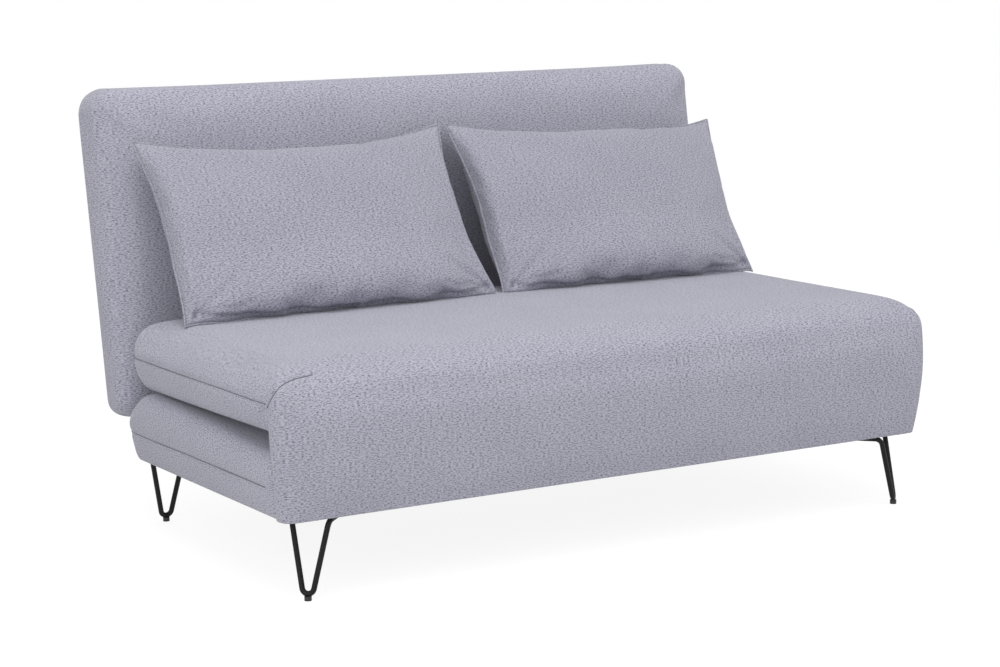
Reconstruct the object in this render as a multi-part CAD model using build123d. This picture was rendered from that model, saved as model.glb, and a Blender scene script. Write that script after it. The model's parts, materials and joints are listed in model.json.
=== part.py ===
"""Fold-out sofa bed on hairpin legs, with two loose back pillows.

Lengths are in millimetres. X runs along the width, Y from the front to the back and Z up from the floor.
The pieces are modelled from the front face (Y = 0) and moved at the end, so that the origin lies on the
floor under the middle of the sofa bed.
"""
from build123d import *
import math
import os

# Overall sizes
WIDTH = 1420.0
BACK_TOP = 850.0
SEAT_TOP = 414.0
BASE_BOTTOM = 145.0
BED_LEVEL = 285.0

# Upholstered sections
BASE_DEPTH = 724.0
SEAT_SHORTER = 18.0
BACK_THICKNESS = 114.0
BACK_TILT = 9.5
LAYER_GAP = 6.0
COVER = 3.0
FOAM_GAP = 0.5
CROWN = 9.0
SIDE_BULGE = 8.0
SIDE_ROUND = 52.0
CORNER_ROUND = 48.0
REAR_CORNER_ROUND = 75.0
FRONT_TOP_ROUND = 62.0
FOLD_BLOCK = 92.0
FOAM_WALL = 24.0
FRONT_CLOTH = 2.4
FRONT_BULGE = 11.0

SEAT_PAD = 40.0
HEEL_SET = 26.0
KNEE_HEIGHT = 40.0
BEVEL = 10.0
HEEL_ROUND = 14.0
KNEE_ROUND = 26.0
REAR_TOP_ROUND = 24.0
BACK_FOOT_CORNER = 34.0
BACK_TOP_CORNER = 62.0
BACK_FRONT_FOOT_ROUND = 26.0
BACK_REAR_FOOT_ROUND = 40.0
BACK_FRONT_TOP_ROUND = 38.0
BACK_REAR_TOP_ROUND = 46.0
BACK_FRONT_SIDE_ROUND = 42.0
BACK_REAR_SIDE_ROUND = 30.0
CUT_MARGIN = 0.4

# Timber frames
RAIL = 22.0
BASE_RAIL_HEIGHT = 64.0
SEAT_RAIL_HEIGHT = 46.0
SLAT_THICKNESS = 9.0
SLAT_WIDTH = 58.0
SLAT_COUNT = 7
FRAME_REAR_SET = 36.0
BLOCK = 135.0
BLOCK_HEIGHT = 40.0
BACK_RAIL_DEPTH = 44.0
BACK_FRAME_LOW = 52.0
BACK_FRAME_TOP_SET = 38.0
WEB_WIDTH = 60.0
WEB_THICKNESS = 2.5
WEB_COUNT = 7

# Hairpin legs
ROD = 10.0
LEG_SPREAD = 68.0
LEG_LEAN = 10.0
LEG_BEND = 11.0
LEG_TOP_BEND = 14.0
LEG_INSET_SIDE = 78.0
LEG_INSET_FRONT = 46.0
LEG_INSET_REAR_SIDE = 76.0
LEG_INSET_REAR = 40.0
LEG_PLATE = (74.0, 78.0, 3.0)
GLIDE_RADIUS = 6.5
GLIDE_HEIGHT = 8.0
SCREW_RADIUS = 3.0
SCREW_LENGTH = 34.0
SCREW_HEAD = (5.5, 3.6)
SCREW_CLEARANCE = 0.2
LEG_SCREW_X = 18.0
LEG_SCREW_Y = (36.0, 64.0)

# Fold hinge between base and seat
KNUCKLE_RADIUS = 3.5
FOLD_PIN_RADIUS = 1.6
PIN_CLEARANCE = 0.05
LEAF = 1.5
LEAF_DEPTH = 56.0
HINGE_LENGTH = 240.0
HINGE_INSET = 250.0
KNUCKLES = 5
KNUCKLE_GAP = 0.4
LEAF_SCREW = (1.8, 17.0)
LEAF_SCREW_HEAD = (3.6, 1.0)

# Recline hinges of the backrest
RECLINE_INSET = 150.0
RECLINE_DROP = 50.0
RECLINE_SET = 47.0
PIVOT_BEHIND = 41.0
UPPER_ARM = 18.0
FLANGE = 60.0
SLOT_REAR = 54.0
ARM_THICKNESS = 5.0
ARM_WIDTH = 40.0
RECLINE_PIN = 6.0
PIN_HEAD = (11.0, 4.0)
ARM_GAP = 0.4
HINGE_SLOT = 30.0
BACK_BELOW_PIVOT = 32.0

# Support legs of the folded-out seat
SUPPORT_INSET = 190.0
SUPPORT_BAR = (30.0, 6.0)
SUPPORT_CAP = 16.0
SUPPORT_BOLT = 5.0
SUPPORT_HEAD = (9.0, 4.0)
SUPPORT_STANDOFF = 3.0
FLOOR_CLEARANCE = 0.5

# Loose pillows
PILLOW = (680.0, 390.0, 132.0)
PILLOW_MEETING = 17.0
PILLOW_GAP = 6.0
PILLOW_LEAN = 32.0
PILLOW_AHEAD = 209.0
PILLOW_EDGE = 9.0
PILLOW_DRAW_IN = 20.0
PILLOW_SAG = 9.0
PILLOW_CLOTH = 2.0
PILLOW_SECTIONS = 9
PILLOW_LIFT = 0.8
ZIP = (500.0, 5.0, 1.2)
ZIP_SLIDER = (14.0, 6.0, 2.4)

# Derived places
FOLD_Y = FRONT_CLOTH + 0.4 + KNUCKLE_RADIUS
FRONT_Y = FOLD_Y + 0.5
BASE_TOP = BED_LEVEL - LAYER_GAP / 2
SEAT_UNDER = BED_LEVEL + LAYER_GAP / 2
HALF = WIDTH / 2
PIVOT_Z = BED_LEVEL - RECLINE_DROP
PIVOT_Y = BASE_DEPTH + PIVOT_BEHIND
BACK_HEIGHT = (BACK_TOP - PIVOT_Z - 0.8) / math.cos(math.radians(BACK_TILT))
BACK_FRAME_HIGH = BACK_HEIGHT - BACK_FRAME_TOP_SET
BACK_FRONT = -RECLINE_SET
BACK_REAR = BACK_FRONT + BACK_THICKNESS
BACK_FRAME_FRONT = BACK_FRONT + 30.0
BACK_FRAME_REAR = BACK_FRAME_FRONT + BACK_RAIL_DEPTH
FRAME_HALF = HALF - FOAM_WALL - SIDE_BULGE
FRAME_Y0 = FRONT_Y + FRONT_BULGE + FOAM_WALL
FRAME_Y1 = BASE_DEPTH - FOAM_WALL - FRAME_REAR_SET
SUPPORT_Z = (SEAT_UNDER + SEAT_TOP) / 2
BIG = 4 * WIDTH
SEAT_DEPTH = BASE_DEPTH - SEAT_SHORTER
HINGE_PLACES = (-HALF + HINGE_INSET, 0.0, HALF - HINGE_INSET)
RECLINE_PLACE = HALF - RECLINE_INSET
SUPPORT_PLACE = HALF - SUPPORT_INSET
PILLOW_FOOT = PIVOT_Y - PILLOW_AHEAD
PILLOW_REACH = (PILLOW[0] + PILLOW_GAP) / 2
PILLOW_PLACES = {"left": PILLOW_MEETING - PILLOW_REACH, "right": PILLOW_MEETING + PILLOW_REACH}

parts = {}


def yz(points):
    """A closed YZ outline on the middle plane, from (y, z) points."""
    return Plane.YZ * make_face(Polyline(*points, close=True))


def along_x(outline, width):
    """An YZ outline extruded to both sides of the middle plane."""
    return extrude(outline, width / 2, both=True)


def box(x0, x1, y0, y1, z0, z1):
    """A box between two corners."""
    return Pos((x0 + x1) / 2, (y0 + y1) / 2, (z0 + z1) / 2) * Box(x1 - x0, y1 - y0, z1 - z0)


def rod_x(radius, x0, x1, y, z):
    """A round bar along X."""
    return Pos((x0 + x1) / 2, y, z) * Rot(0, 90, 0) * Cylinder(radius, x1 - x0)


def rod_y(radius, y0, y1, x, z):
    """A round bar along Y."""
    return Pos(x, (y0 + y1) / 2, z) * Rot(90, 0, 0) * Cylinder(radius, y1 - y0)


def rod_z(radius, z0, z1, x, y):
    """A round bar along Z."""
    return Pos(x, y, (z0 + z1) / 2) * Cylinder(radius, z1 - z0)


def rounded(face, radii):
    """A flat face with each named corner, given as (point, radius), rounded."""
    for point, radius in radii:
        corner = face.vertices().sort_by_distance(point)[0]
        face = fillet(corner, radius)
    return face


def elevation(bottom, top, low_round, high_round, inset, bulge):
    """Front outline in XZ of a pad with bulged sides and a crowned top, extruded along Y."""
    half, low, high = HALF - inset, bottom + inset, top - inset
    shoulder = high - CROWN
    middle = low + 0.55 * (shoulder - low)
    outline = (
        Line((-half + bulge, low), (half - bulge, low))
        + ThreePointArc((half - bulge, low), (half, middle), (half - bulge / 4, shoulder))
        + ThreePointArc((half - bulge / 4, shoulder), (0, high), (-half + bulge / 4, shoulder))
        + ThreePointArc((-half + bulge / 4, shoulder), (-half, middle), (-half + bulge, low))
    )
    face = make_face(outline)
    corners = []
    for side in (-1, 1):
        corners.append(((side * (half - bulge / 4), shoulder), high_round - inset))
        if low_round > inset:
            corners.append(((side * (half - bulge), low), low_round - inset))
    return extrude(Plane.XZ * rounded(face, corners), -BIG)


def plan(front, rear, front_round, rear_round, inset):
    """Plan outline in XY with rounded corners, extruded along Z."""
    half, y0, y1 = HALF - inset, front + inset, rear - inset
    face = make_face(Polyline((-half, y0), (half, y0), (half, y1), (-half, y1), close=True))
    corners = []
    for side in (-1, 1):
        corners.append(((side * half, y0), front_round - inset))
        corners.append(((side * half, y1), rear_round - inset))
    return extrude(rounded(face, corners), BIG)


def front_curve(z):
    """Y of the front face behind the front cloth at height z, which bulges at the fold."""
    reach = BED_LEVEL - BASE_BOTTOM
    return FRONT_Y + FRONT_BULGE * min(1.0, abs(z - BED_LEVEL) / reach) ** 2


def seat_side(inset):
    """Side outline of the seat pad, with its round front edge and bullnose rear end."""
    low, high, rear = SEAT_UNDER + inset, SEAT_TOP + CUT_MARGIN - inset, SEAT_DEPTH - inset
    shoulder = high - FRONT_TOP_ROUND
    front_low, front_high = FRONT_Y + inset, front_curve(shoulder) + inset
    face = make_face(Polyline((front_low, low), (rear, low), (rear, high), (front_high, high), close=True))
    face = rounded(face, [
        ((rear, low), SIDE_ROUND - inset),
        ((rear, high), SIDE_ROUND - inset),
        ((front_high, high), FRONT_TOP_ROUND - inset),
    ])
    return along_x(Plane.YZ * face, BIG)


def seat_shape(inset):
    """Outer form of the folding seat section, drawn in by inset."""
    main = elevation(SEAT_UNDER - CUT_MARGIN, SEAT_TOP, SIDE_ROUND, SIDE_ROUND, inset, SIDE_BULGE / 4)
    half = HALF - SIDE_BULGE / 4 - CUT_MARGIN - inset
    lip = box(-half, half, 0, FOLD_BLOCK - inset, SEAT_UNDER + inset, (SEAT_UNDER + SEAT_TOP) / 2)
    body = (main + lip) & seat_side(inset)
    return body & plan(FRONT_Y - CUT_MARGIN, SEAT_DEPTH + CUT_MARGIN, CORNER_ROUND, REAR_CORNER_ROUND, inset)


def base_side(inset):
    """Side outline of the base, with a bevelled rear end under the backrest."""
    low, high = BASE_BOTTOM + inset, BASE_TOP - inset
    heel, rear = BASE_DEPTH - HEEL_SET - inset, BASE_DEPTH - inset
    knee = BASE_BOTTOM + KNEE_HEIGHT
    front_low, front_high = front_curve(BASE_BOTTOM) + inset, FRONT_Y + inset
    middle = (low + high) / 2
    outline = (
        Polyline((front_low, low), (heel, low), (rear, knee), (rear - BEVEL, high), (front_high, high))
        + ThreePointArc((front_high, high), (front_curve(middle) + inset, middle), (front_low, low))
    )
    face = rounded(make_face(outline), [
        ((heel, low), HEEL_ROUND),
        ((rear, knee), KNEE_ROUND),
        ((rear - BEVEL, high), REAR_TOP_ROUND - inset),
    ])
    return along_x(Plane.YZ * face, BIG)


def base_shape(inset):
    """Outer form of the base section, drawn in by inset."""
    body = elevation(BASE_BOTTOM - 1, BASE_TOP + CROWN, 0, SIDE_ROUND, inset, SIDE_BULGE)
    half = HALF - SIDE_BULGE / 4 - CUT_MARGIN - inset
    body += box(-half, half, 0, FOLD_BLOCK - inset, (BASE_BOTTOM + BASE_TOP) / 2, BASE_TOP + CROWN)
    body = body & base_side(inset)
    return body & plan(FRONT_Y - CUT_MARGIN, BASE_DEPTH + CUT_MARGIN, CORNER_ROUND, CORNER_ROUND, inset)


def tilted(shape):
    """A piece drawn on the upright backrest, leant back about the recline pivot."""
    return Pos(0, PIVOT_Y, PIVOT_Z) * Rot(-BACK_TILT, 0, 0) * shape


def back_shape(inset):
    """Outer form of the backrest, upright about its pivot, drawn in by inset."""
    half, low, high = HALF - 1 - inset, -BACK_BELOW_PIVOT + inset, BACK_HEIGHT - inset
    front, rear = BACK_FRONT + inset, BACK_REAR - inset
    face = make_face(Polyline((-half, low), (half, low), (half, high), (-half, high), close=True))
    corners = ((low, BACK_FOOT_CORNER), (high, BACK_TOP_CORNER))
    face = rounded(face, [((s * half, z), r - inset) for s in (-1, 1) for z, r in corners])
    facing = extrude(Plane.XZ * face, BIG / 2, both=True)
    side = (
        ThreePointArc((front + CROWN, low), (front, (low + high) / 2), (front + CROWN, high))
        + Polyline((front + CROWN, high), (rear, high), (rear, low), (front + CROWN, low))
    )
    side = rounded(make_face(side), [
        ((front + CROWN, low), BACK_FRONT_FOOT_ROUND - inset),
        ((rear, low), BACK_REAR_FOOT_ROUND - inset),
        ((front + CROWN, high), BACK_FRONT_TOP_ROUND - inset),
        ((rear, high), BACK_REAR_TOP_ROUND - inset),
    ])
    half, front, rear = half + CUT_MARGIN, front - CUT_MARGIN, rear + CUT_MARGIN
    top = make_face(Polyline((-half, front), (half, front), (half, rear), (-half, rear), close=True))
    corners = ((front, BACK_FRONT_SIDE_ROUND), (rear, BACK_REAR_SIDE_ROUND))
    top = rounded(top, [((s * half, y), r - inset) for s in (-1, 1) for y, r in corners])
    return facing & along_x(Plane.YZ * side, BIG) & extrude(top, BIG / 2, both=True)


def frame_rails(prefix, z0, z1, front_z0, front_z1):
    """Front, rear, left, right and middle timber rails of a frame, and the room that they take."""
    parts[prefix + "_front_rail"] = box(-FRAME_HALF, FRAME_HALF, FRAME_Y0, FRAME_Y0 + RAIL, front_z0, front_z1)
    parts[prefix + "_rear_rail"] = box(-FRAME_HALF, FRAME_HALF, FRAME_Y1 - RAIL, FRAME_Y1, z0, z1)
    for name, x0 in (("left", -FRAME_HALF), ("right", FRAME_HALF - RAIL), ("middle", -RAIL / 2)):
        parts[prefix + "_" + name + "_rail"] = box(
            x0, x0 + RAIL, FRAME_Y0 + RAIL, FRAME_Y1 - RAIL, z0, z1)
    parts[prefix + "_slats"] = slats(z1)
    room = box(-FRAME_HALF, FRAME_HALF, FRAME_Y0, FRAME_Y1, z0, z1 + SLAT_THICKNESS)
    return room + box(-FRAME_HALF, FRAME_HALF, FRAME_Y0, FRAME_Y0 + RAIL, front_z0, front_z1)


def slats(z):
    """Two bays of slats that lie across the side and middle rails."""
    y0 = FRAME_Y0 + RAIL
    pitch = (FRAME_Y1 - y0) / SLAT_COUNT
    made = []
    for i in range(SLAT_COUNT):
        y = y0 + (i + 0.5) * pitch
        for x0, x1 in ((-FRAME_HALF, -2.0), (2.0, FRAME_HALF)):
            made.append(box(x0, x1, y - SLAT_WIDTH / 2, y + SLAT_WIDTH / 2, z, z + SLAT_THICKNESS))
    return Compound(made)


def base_section():
    """Frame, slats, foam, cover and lining of the base."""
    z0 = BASE_BOTTOM + COVER
    room = frame_rails("base", z0, z0 + BASE_RAIL_HEIGHT, z0, BASE_TOP - COVER)
    room += box(-FRAME_HALF, FRAME_HALF, FRAME_Y0, FRAME_Y1, BASE_BOTTOM - 1, z0)
    edge = FRAME_HALF - RAIL / 2
    y0, y1 = FRAME_Y0 + RAIL / 2, FRAME_Y1 - RAIL / 2
    opening = box(-edge, edge, y0, y1, BASE_BOTTOM - 1, z0 + 0.5)
    grooves = knuckle_grooves()
    arms = arm_slots()
    holes = leaf_screw_holes(BASE_TOP, -1)
    parts["base_cover"] = base_shape(0.0) - base_shape(COVER) - opening - arms - grooves - holes
    parts["base_foam"] = base_shape(COVER + FOAM_GAP) - room - arms
    parts["base_front_rail"] -= holes
    screws, cut = leg_screws()
    parts["base_lining"] = box(-edge + 1, edge - 1, y0 + 1, y1 - 1, BASE_BOTTOM, z0) - cut
    blocks, inner = [], FRAME_HALF - RAIL
    for x0 in (-inner, inner - BLOCK):
        for y in (FRAME_Y0 + RAIL, FRAME_Y1 - RAIL - BLOCK):
            blocks.append(box(x0, x0 + BLOCK, y, y + BLOCK, z0, z0 + BLOCK_HEIGHT) - cut)
    parts["corner_blocks"] = Compound(blocks)
    for name in ("front_rail", "rear_rail", "left_rail", "right_rail", "cover"):
        parts["base_" + name] -= cut
    parts["leg_screws"] = Compound(screws)


def seat_section():
    """Frame, slats, foam and cover of the folding seat."""
    z1 = SEAT_TOP - COVER - SEAT_PAD - SLAT_THICKNESS
    room = frame_rails("seat", z1 - SEAT_RAIL_HEIGHT, z1, SEAT_UNDER + COVER, z1)
    bolts = support_bolt_holes()
    holes = leaf_screw_holes(SEAT_UNDER, 1)
    parts["seat_cover"] = seat_shape(0.0) - seat_shape(COVER) - bolts - knuckle_grooves() - holes
    parts["seat_foam"] = seat_shape(COVER + FOAM_GAP) - room - bolts
    parts["seat_front_rail"] -= holes
    parts["seat_rear_rail"] -= bolts


def front_panel():
    """Front cloth over the fold, from the seat's front edge down to the base's lower edge."""
    low, high = BASE_BOTTOM + 1, SEAT_TOP - FRONT_TOP_ROUND
    y_low, y_high = front_curve(low) - 0.5, FRONT_Y + 0.5
    outline = (
        ThreePointArc((y_low - FRONT_CLOTH, low), (0, BED_LEVEL), (y_high - FRONT_CLOTH, high))
        + Line((y_high - FRONT_CLOTH, high), (y_high, high))
        + ThreePointArc((y_high, high), (FRONT_CLOTH, BED_LEVEL), (y_low, low))
        + Line((y_low, low), (y_low - FRONT_CLOTH, low))
    )
    parts["front_panel"] = along_x(Plane.YZ * make_face(outline), WIDTH - 2 * CORNER_ROUND)


def knuckle_grooves():
    """Hollows in the front edges of base and seat for the hinge knuckles."""
    return Compound([
        rod_x(KNUCKLE_RADIUS + 0.5, x - HINGE_LENGTH / 2 - 1, x + HINGE_LENGTH / 2 + 1, FOLD_Y, BED_LEVEL)
        for x in HINGE_PLACES])


def leaf_screw_places():
    """X of each hinge leaf screw; Y is the middle of the front rail."""
    return [x + s * HINGE_LENGTH * 0.36 for x in HINGE_PLACES for s in (-1, 0, 1)]


def leaf_screw_holes(face, up):
    """Screw holes through a cover and into its front rail."""
    y = FRAME_Y0 + RAIL / 2
    z0, z1 = sorted((face - up * 4, face + up * (LEAF_SCREW[1] + 1)))
    return Compound([rod_z(LEAF_SCREW[0] + SCREW_CLEARANCE, z0, z1, x, y) for x in leaf_screw_places()])


def leaf_screws(face, up):
    """Screws that hold a leaf down on its front rail, with their heads in the gap."""
    y = FRAME_Y0 + RAIL / 2
    leaf = face - up * LEAF
    made = []
    for x in leaf_screw_places():
        shank = rod_z(LEAF_SCREW[0], *sorted((leaf, face + up * LEAF_SCREW[1])), x, y)
        made.append(shank + rod_z(LEAF_SCREW_HEAD[0], *sorted((leaf, leaf - up * LEAF_SCREW_HEAD[1])), x, y))
    return made


def hinge_leaf(face, up, first):
    """One leaf of each fold hinge, with every second knuckle from the first on."""
    made = []
    pitch = HINGE_LENGTH / KNUCKLES
    z0, z1 = sorted((face, face - up * LEAF))
    holes = leaf_screw_holes(face, up)
    for place in HINGE_PLACES:
        x0 = place - HINGE_LENGTH / 2
        leaf = box(x0, x0 + HINGE_LENGTH, FOLD_Y + KNUCKLE_RADIUS + 0.8, FOLD_Y + LEAF_DEPTH, z0, z1)
        for k in range(first, KNUCKLES, 2):
            a, b = x0 + k * pitch + KNUCKLE_GAP / 2, x0 + (k + 1) * pitch - KNUCKLE_GAP / 2
            leaf += box(a, b, FOLD_Y, FOLD_Y + KNUCKLE_RADIUS + 1, z0, z1)
            leaf += rod_x(KNUCKLE_RADIUS, a, b, FOLD_Y, BED_LEVEL)
        leaf -= rod_x(FOLD_PIN_RADIUS + PIN_CLEARANCE, x0 - 1, x0 + HINGE_LENGTH + 1, FOLD_Y, BED_LEVEL)
        made.append(leaf - holes)
    return made


def fold_hinges():
    """Three butt hinges between the front edges of base and seat."""
    for i, leaf in enumerate(hinge_leaf(BASE_TOP, -1, 0)):
        parts["fold_leaf_base_" + str(i + 1)] = leaf
    for i, leaf in enumerate(hinge_leaf(SEAT_UNDER, 1, 1)):
        parts["fold_leaf_seat_" + str(i + 1)] = leaf
    parts["fold_pins"] = Compound([
        rod_x(FOLD_PIN_RADIUS, x - HINGE_LENGTH / 2, x + HINGE_LENGTH / 2, FOLD_Y, BED_LEVEL)
        for x in HINGE_PLACES])
    parts["fold_screws_base"] = Compound(leaf_screws(BASE_TOP, -1))
    parts["fold_screws_seat"] = Compound(leaf_screws(SEAT_UNDER, 1))


def leg_frames():
    """Place of each hairpin leg's top, with the mounting run along +Y of its frame."""
    side, rear_side, rear = HALF - LEG_INSET_SIDE, HALF - LEG_INSET_REAR_SIDE, BASE_DEPTH - LEG_INSET_REAR
    return {
        "front_left": Pos(-side, LEG_INSET_FRONT, 0) * Rot(0, 0, -45),
        "front_right": Pos(side, LEG_INSET_FRONT, 0) * Rot(0, 0, 45),
        "rear_left": Pos(-rear_side, rear, 0) * Rot(0, 0, 180),
        "rear_right": Pos(rear_side, rear, 0) * Rot(0, 0, 180),
    }


def screw_points():
    """Centres of the four screws of one leg plate, in the leg's own frame."""
    return [(x, y) for x in (-LEG_SCREW_X, LEG_SCREW_X) for y in LEG_SCREW_Y]


def hairpin_leg():
    """One bent rod welded under its mounting plate, leaning out towards -Y, and its glide."""
    under = BASE_BOTTOM - LEG_PLATE[2]
    plate = box(-LEG_PLATE[0] / 2, LEG_PLATE[0] / 2, 6, LEG_PLATE[1], under, BASE_BOTTOM)
    plate = fillet(plate.edges().filter_by(Axis.Z), 8)
    for x, y in screw_points():
        plate -= rod_z(SCREW_RADIUS + SCREW_CLEARANCE, 0, BIG, x, y)
    top = under - ROD / 2 + 0.4
    bend_bottom = GLIDE_HEIGHT + ROD / 2 - 1.0
    half = LEG_SPREAD / 2
    lean = math.radians(LEG_LEAN)
    drift = math.tan(lean)
    apex = 0.0
    for _ in range(30):
        slope = math.atan2(half, (top - apex) / math.cos(lean))
        apex = bend_bottom - LEG_BEND * (1 / math.sin(slope) - 1) * math.cos(lean)
    run_end = LEG_PLATE[1] - 6
    points = [(-half, run_end, top), (-half, 0, top), (0, -(top - apex) * drift, apex),
              (half, 0, top), (half, run_end, top)]
    path = FilletPolyline(*points, radius=[LEG_TOP_BEND, LEG_BEND, LEG_TOP_BEND])
    rod = sweep(Plane(origin=points[0], z_dir=(0, -1, 0)) * Circle(ROD / 2), path=path)
    glide = rod_z(GLIDE_RADIUS, 0, GLIDE_HEIGHT, 0, -(top - bend_bottom) * drift)
    return plate + rod, glide - rod


def leg_screws():
    """Screws of all four leg plates, and the holes that they need."""
    screws, holes = [], []
    under = BASE_BOTTOM - LEG_PLATE[2]
    for frame in leg_frames().values():
        for x, y in screw_points():
            shank = rod_z(SCREW_RADIUS, under, under + SCREW_LENGTH, x, y)
            head = rod_z(SCREW_HEAD[0], under - SCREW_HEAD[1], under, x, y)
            screws.append(frame * (shank + head))
            holes.append(frame * rod_z(SCREW_RADIUS + SCREW_CLEARANCE, under, under + SCREW_LENGTH + 1, x, y))
    return screws, Compound(holes)


def legs():
    """Four hairpin legs and their glides."""
    leg, glide = hairpin_leg()
    glides = []
    for name, frame in leg_frames().items():
        parts["leg_" + name] = frame * leg
        glides.append(frame * glide)
    parts["leg_glides"] = Compound(glides)


def lower_arm(side, grow):
    """Recline arm from the base's rear rail to the pivot, grown all round by grow."""
    z0, z1 = BASE_BOTTOM + COVER + 4, BASE_BOTTOM + COVER + BASE_RAIL_HEIGHT
    half = ARM_WIDTH / 2 + grow
    thick = ARM_THICKNESS + 2 * grow
    outline = yz([(FRAME_Y1 - grow, z0 - grow), (FRAME_Y1 - grow, z1 + grow), (PIVOT_Y - 6, PIVOT_Z + half - 1),
                  (PIVOT_Y, PIVOT_Z - half + 1), (FRAME_Y1 + 26, z0 - grow)])
    arm = along_x(outline, thick) + rod_x(half, -thick / 2, thick / 2, PIVOT_Y, PIVOT_Z)
    arm += box(-FLANGE / 2 - grow, FLANGE / 2 + grow, FRAME_Y1 - grow, FRAME_Y1 + ARM_THICKNESS + grow,
               z0 - grow, z1 + grow)
    return Pos(side * RECLINE_PLACE, 0, 0) * arm


def arm_slots():
    """Cuts for both lower arms through the rear of the base."""
    return Compound([lower_arm(-1, 0.6), lower_arm(1, 0.6)])


def recline_hinges():
    """Lower arms, upper arms and pins on which the backrest reclines."""
    pins = []
    for name, side in (("left", -1), ("right", 1)):
        bore = rod_x(RECLINE_PIN + PIN_CLEARANCE, -HALF, HALF, PIVOT_Y, PIVOT_Z)
        parts["recline_arm_base_" + name] = lower_arm(side, 0.0) - bore
        inner = RECLINE_PLACE - ARM_THICKNESS - ARM_GAP
        arm = along_x(yz([(-UPPER_ARM, 0), (UPPER_ARM, 0), (UPPER_ARM, BACK_FRAME_LOW - 1),
                          (-UPPER_ARM, BACK_FRAME_LOW - 1)]), ARM_THICKNESS)
        arm += rod_x(UPPER_ARM, -ARM_THICKNESS / 2, ARM_THICKNESS / 2, 0, 0)
        arm += box(-FLANGE / 2, FLANGE / 2, BACK_FRAME_FRONT, BACK_FRAME_REAR,
                   BACK_FRAME_LOW - ARM_THICKNESS, BACK_FRAME_LOW)
        arm -= rod_x(RECLINE_PIN + PIN_CLEARANCE, -HALF, HALF, 0, 0)
        parts["recline_arm_back_" + name] = tilted(Pos(side * inner, 0, 0) * arm)
        out, inn = RECLINE_PLACE + ARM_THICKNESS / 2 + ARM_GAP, inner - ARM_THICKNESS / 2 - ARM_GAP
        pin = rod_x(RECLINE_PIN, inn, out, PIVOT_Y, PIVOT_Z)
        pin += rod_x(PIN_HEAD[0], out, out + PIN_HEAD[1], PIVOT_Y, PIVOT_Z)
        pin += rod_x(PIN_HEAD[0], inn - PIN_HEAD[1], inn, PIVOT_Y, PIVOT_Z)
        pins.append(pin if side > 0 else mirror(pin, Plane.YZ))
    parts["recline_pins"] = Compound(pins)


def back_section():
    """Frame, webbing, foam and cover of the backrest."""
    z0, z1, y0, y1 = BACK_FRAME_LOW, BACK_FRAME_HIGH, BACK_FRAME_FRONT, BACK_FRAME_REAR
    frame = {
        "bottom_rail": box(-FRAME_HALF, FRAME_HALF, y0, y1, z0, z0 + RAIL),
        "top_rail": box(-FRAME_HALF, FRAME_HALF, y0, y1, z1 - RAIL, z1),
    }
    for name, x0 in (("left", -FRAME_HALF), ("right", FRAME_HALF - RAIL), ("middle", -RAIL / 2)):
        frame[name + "_stile"] = box(x0, x0 + RAIL, y0, y1, z0 + RAIL, z1 - RAIL)
    pitch = 2 * FRAME_HALF / WEB_COUNT
    frame["webbing"] = Compound([
        box(x - WEB_WIDTH / 2, x + WEB_WIDTH / 2, y0 - WEB_THICKNESS, y0, z0, z1)
        for x in [-FRAME_HALF + (i + 0.5) * pitch for i in range(WEB_COUNT)]])
    room = box(-FRAME_HALF, FRAME_HALF, y0 - WEB_THICKNESS, y1, z0, z1)
    slots = []
    for side in (-1, 1):
        middle = side * (RECLINE_PLACE - ARM_THICKNESS / 2)
        slot = box(middle - HINGE_SLOT / 2, middle + HINGE_SLOT / 2, -BACK_THICKNESS, SLOT_REAR,
                   -BACK_THICKNESS, z0 + 1)
        slots.append(slot + box(middle - FLANGE / 2 - 4, middle + FLANGE / 2 + 4, y0 - 1, y1 + 1,
                                z0 - ARM_THICKNESS - 1, z0 + 1))
    slots = Compound(slots)
    frame["cover"] = back_shape(0.0) - back_shape(COVER) - slots
    frame["foam"] = back_shape(COVER + FOAM_GAP) - room - slots
    for name, shape in frame.items():
        parts["back_" + name] = tilted(shape)


def support_bolt_holes():
    """Holes through the rear of the seat for the pivot bolts of the support legs."""
    return Compound([
        rod_y(SUPPORT_BOLT + SCREW_CLEARANCE, FRAME_Y1 - RAIL - 1, SEAT_DEPTH + 1, s * SUPPORT_PLACE, SUPPORT_Z)
        for s in (-1, 1)])


def support_legs():
    """Two flat legs that lie along the seat's rear end and swing out to carry the opened seat."""
    width, thick = SUPPORT_BAR
    reach = 2 * BED_LEVEL - SUPPORT_Z - FLOOR_CLEARANCE
    y0 = SEAT_DEPTH + SUPPORT_STANDOFF
    bar = box(0, reach - SUPPORT_CAP / 2, y0, y0 + thick, -width / 2, width / 2)
    bar += rod_y(width / 2, y0, y0 + thick, 0, 0)
    cap = box(reach - SUPPORT_CAP, reach, y0 - 2, y0 + thick + 2, -width / 2 - 2, width / 2 + 2) - bar
    bar -= rod_y(SUPPORT_BOLT + PIN_CLEARANCE, 0, BIG, 0, 0)
    bolt = rod_y(SUPPORT_BOLT, FRAME_Y1 - RAIL, y0 + thick + 0.4, 0, 0)
    bolt += rod_y(SUPPORT_HEAD[0], SEAT_DEPTH, y0 - 0.4, 0, 0)
    bolt += rod_y(SUPPORT_HEAD[0], y0 + thick + 0.4, y0 + thick + 0.4 + SUPPORT_HEAD[1], 0, 0)
    bolts = []
    for name, side in (("left", -1), ("right", 1)):
        place = Pos(side * SUPPORT_PLACE, 0, SUPPORT_Z)
        for node, shape in (("support_leg_", bar), ("support_cap_", cap)):
            parts[node + name] = place * (mirror(shape, Plane.YZ) if side > 0 else shape)
        bolts.append(place * bolt)
    parts["support_bolts"] = Compound(bolts)


def pillow_half_height(s):
    """Half height of a pillow at s, from -1 at one end to 1 at the other: the middle is drawn in."""
    return PILLOW[1] / 2 - PILLOW_SAG * (1 - s * s)


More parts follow.
